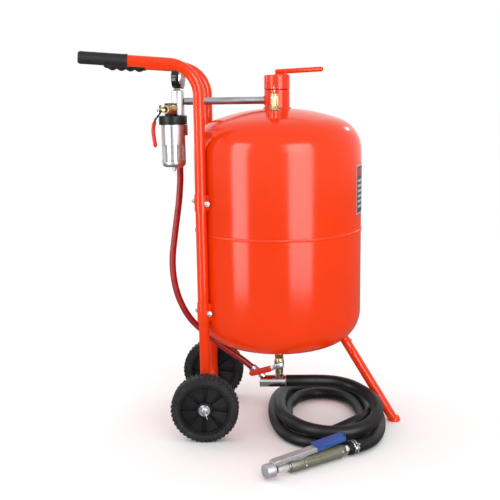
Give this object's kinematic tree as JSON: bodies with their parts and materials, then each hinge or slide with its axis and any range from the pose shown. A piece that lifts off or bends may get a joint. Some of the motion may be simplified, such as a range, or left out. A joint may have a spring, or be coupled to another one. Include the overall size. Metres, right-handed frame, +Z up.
{
  "type": "portable abrasive blasting pot",
  "caption": "Pressure vessel on a wheeled frame with air filter, gauge, valves and a coiled hose ending in a dead-man blasting nozzle.",
  "frame": {"origin": "centre of the bounding box on the floor, leaving out the hoses and what hangs on them", "axes": "+X from the handles towards the front leg, +Z up, -Y side carries the air inlet and the nozzle"},
  "size_m": [0.7388, 0.5874, 0.9044],
  "materials": {
    "orange_paint": "glossy powder coat",
    "zinc": "zinc plated",
    "chrome": "polished",
    "brass": "satin",
    "black_plastic": "moulded",
    "black_rubber": "matt",
    "tyre": "matt",
    "guard_silver": "satin",
    "clear_bowl": "clear polycarbonate",
    "gauge_glass": "clear",
    "white_plastic": "matt",
    "red_plastic": "dipped vinyl and moulded plastic",
    "red_hose": "smooth",
    "olive_cast": "painted casting",
    "grey_cast": "cast",
    "blue_vinyl": "dipped vinyl",
    "ceramic": "fired ceramic"
  },
  "bodies": {
    "pot": {"upper_shell": "orange_paint", "lower_shell": "orange_paint", "filler_neck": "orange_paint", "relief_boss": "orange_paint", "relief_valve": "brass", "gauge_case": "black_plastic", "gauge_dial": "white_plastic", "gauge_bezel": "chrome", "gauge_lens": "gauge_glass", "gauge_stem": "brass", "cross_pipe": "zinc", "air_manifold": "chrome", "drop_pipe": "chrome", "hose_ferrule": "zinc", "filter_head": "black_plastic", "filter_collar": "black_plastic", "inlet_valve_body": "brass", "meter_valve_body": "brass", "mixing_tee": "chrome", "air_hose": "red_hose", "air_hose_clamp": "zinc", "hose_barb": "brass", "blast_hose": "black_rubber", "blast_hose_clamp": "zinc", "nozzle_nipple": "zinc", "nozzle_body": "olive_cast", "nozzle_tip": "ceramic", "frame_left": "orange_paint", "frame_right": "orange_paint", "handle_grip_left": "black_rubber", "handle_grip_right": "black_rubber", "clamp_lower_left": "orange_paint", "clamp_lower_right": "orange_paint", "clamp_upper_left": "orange_paint", "clamp_upper_right": "orange_paint", "axle": "zinc", "front_leg": "orange_paint"},
    "gasket": {"cap_gasket": "black_rubber"},
    "cap": {"filler_cap": "orange_paint", "cap_handle": "orange_paint"},
    "relief_ring": {"relief_pull": "brass"},
    "needle": {"gauge_needle": "black_plastic"},
    "inlet_handle": {"inlet_valve_lever": "zinc", "inlet_valve_grip": "red_plastic", "inlet_valve_ball": "zinc"},
    "meter_handle": {"meter_valve_lever": "zinc", "meter_valve_grip": "orange_paint", "meter_valve_ball": "zinc"},
    "bowl": {"bowl_guard": "guard_silver", "filter_bowl": "clear_bowl", "filter_element": "white_plastic"},
    "latch": {"latch_button": "red_plastic"},
    "drain": {"drain_cock": "brass"},
    "wheel_left": {"wheel_hub_left": "black_plastic", "wheel_tyre_left": "tyre"},
    "wheel_right": {"wheel_hub_right": "black_plastic", "wheel_tyre_right": "tyre"},
    "trigger": {"nozzle_lever": "grey_cast", "nozzle_grip": "blue_vinyl", "nozzle_pad": "black_rubber"}
  },
  "joints": [
    {"name": "cap_lift", "type": "slide", "parent": "pot", "child": "gasket", "axis": [0, 0, 1], "range_m": [0, 0.00924]},
    {"name": "cap_turn", "type": "hinge", "parent": "gasket", "child": "cap", "pos_m": [0.06785, 0, 0.83], "axis": [0, 0, 1], "range_deg": [0, 1440]},
    {"name": "relief_pull_slide", "type": "slide", "parent": "pot", "child": "relief_ring", "axis": [0, 0, 1], "range_m": [0, 0.003], "stiffness_N_per_m": 400},
    {"name": "gauge_needle_turn", "type": "hinge", "parent": "pot", "child": "needle", "pos_m": [-0.16565, 0, 0.845], "axis": [-0.9903, 0.1392, 0], "range_deg": [0, 270], "stiffness_Nm_per_rad": 0.0002},
    {"name": "inlet_valve_turn", "type": "hinge", "parent": "pot", "child": "inlet_handle", "pos_m": [-0.1809, -0.05885, 0.7735], "axis": [-0.866, 0.5, 0], "range_deg": [0, 90]},
    {"name": "meter_valve_turn", "type": "hinge", "parent": "pot", "child": "meter_handle", "pos_m": [0.06785, 0, 0.1425], "axis": [0, -1, 0], "range_deg": [-14, 76]},
    {"name": "bowl_turn", "type": "hinge", "parent": "pot", "child": "bowl", "pos_m": [-0.17865, -0.02, 0.69], "axis": [0, 0, 1], "range_deg": [0, 45]},
    {"name": "latch_slide", "type": "slide", "parent": "bowl", "child": "latch", "axis": [0, 0, -1], "range_m": [0, 0.004], "stiffness_N_per_m": 200},
    {"name": "drain_turn", "type": "hinge", "parent": "bowl", "child": "drain", "pos_m": [-0.17865, -0.02, 0.63], "axis": [0, 0, 1], "range_deg": [0, 90]},
    {"name": "wheel_left_spin", "type": "hinge", "parent": "pot", "child": "wheel_left", "pos_m": [-0.10815, -0.147, 0.08], "axis": [0, 1, 0], "continuous": true},
    {"name": "wheel_right_spin", "type": "hinge", "parent": "pot", "child": "wheel_right", "pos_m": [-0.10815, 0.147, 0.08], "axis": [0, 1, 0], "continuous": true},
    {"name": "trigger_press", "type": "hinge", "parent": "pot", "child": "trigger", "pos_m": [0.10567, -0.31447, 0.036], "axis": [-0.5639, 0.8258, 0], "range_deg": [0, 4], "stiffness_Nm_per_rad": 4}
  ],
  "couplings": [
    {"joint": "cap_lift", "follows": "cap_turn", "m_per_rad": 0.00036749}
  ]
}
